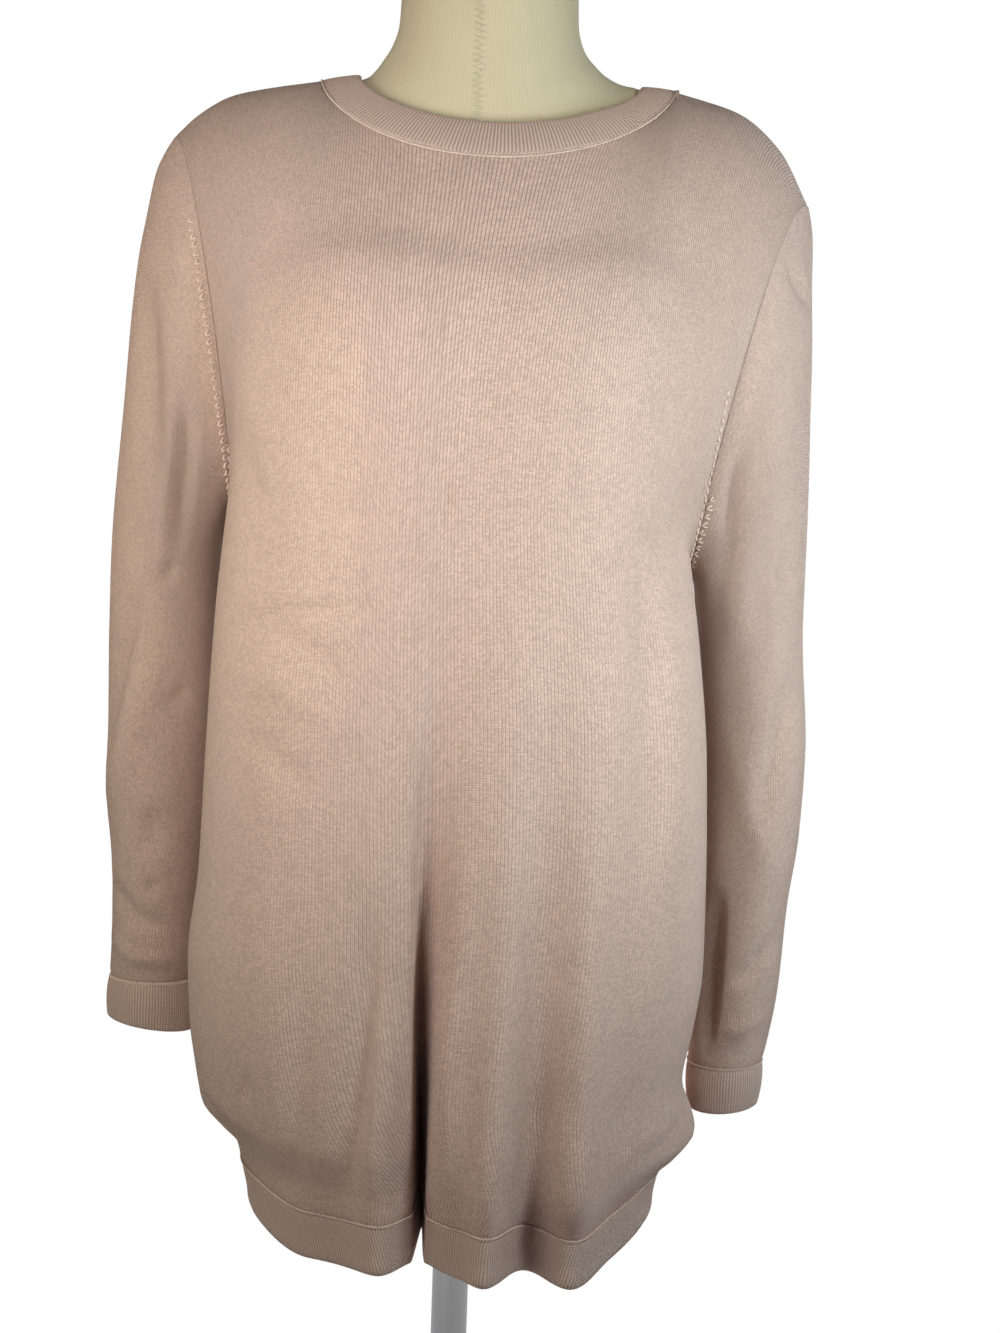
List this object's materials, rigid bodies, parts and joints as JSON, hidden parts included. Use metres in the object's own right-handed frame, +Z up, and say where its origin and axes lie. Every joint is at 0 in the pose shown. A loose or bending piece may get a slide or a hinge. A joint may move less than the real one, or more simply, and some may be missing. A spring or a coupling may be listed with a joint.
{
  "type": "crewneck sweater on a dress form",
  "caption": "Long fine-knit crewneck sweater with ribbed neckband, hem and cuffs, draped on a limbless dress form on a stand.",
  "frame": {"origin": "on the floor, at the centre of the stand base's underside", "axes": "+Z up along the stand, the sweater's front towards -Y, the wearer's left towards +X"},
  "size_m": [0.4994, 0.36, 1.4973],
  "materials": {
    "knit": "fine jersey knit in blush pink, matt with a soft nap",
    "rib_knit": "fine rib knit in blush pink, matt",
    "form_jersey": "cream jersey stretched smooth, matt",
    "form_cap": "cream cloth, matt",
    "stand_steel": "satin"
  },
  "bodies": {
    "root": {"front": "knit", "back": "knit", "sleeve_right": "knit", "sleeve_left": "knit", "neckband": "rib_knit", "hem_band_front": "rib_knit", "hem_band_back": "rib_knit", "cuff_right": "rib_knit", "cuff_left": "rib_knit", "dress_form": "form_jersey", "neck_cap": "form_cap", "stand_base": "stand_steel", "stand_pole": "stand_steel"}
  },
  "joints": []
}
